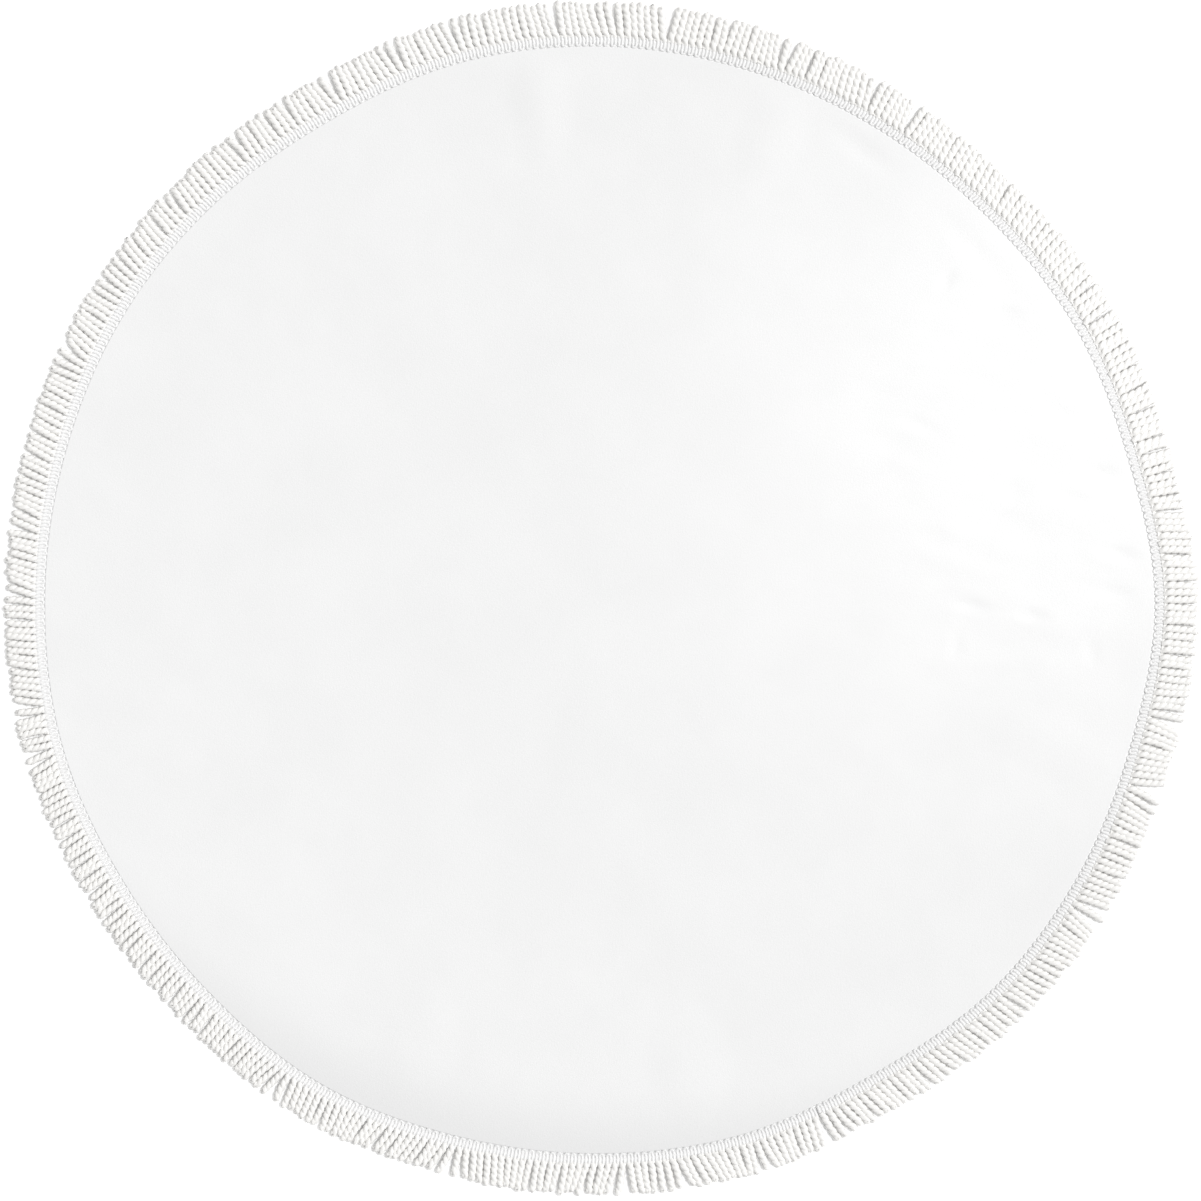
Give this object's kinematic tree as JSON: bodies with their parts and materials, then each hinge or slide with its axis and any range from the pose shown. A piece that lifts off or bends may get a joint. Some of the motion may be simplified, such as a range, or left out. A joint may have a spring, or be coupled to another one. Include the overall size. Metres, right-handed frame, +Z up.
{
  "type": "round beach towel",
  "caption": "Plain round beach towel laid flat, with a knitted heading and a twisted cord fringe sewn round its edge.",
  "frame": {"origin": "middle of the towel's underside, at the centre of its box, on the floor", "axes": "+Z up out of the towel's face, +X to the right and +Y to the top as the towel is seen from above; the two ends of the fringe meet at the lower right, 293 degrees counter-clockwise from +X"},
  "size_m": [1.5114, 1.5064, 0.0075],
  "materials": {
    "towelling": "sheared white cotton towelling, matte",
    "fringe_cotton": "natural white twisted cotton cord, matte"
  },
  "bodies": {
    "root": {"cloth": "towelling", "fringe": "fringe_cotton"}
  },
  "joints": []
}
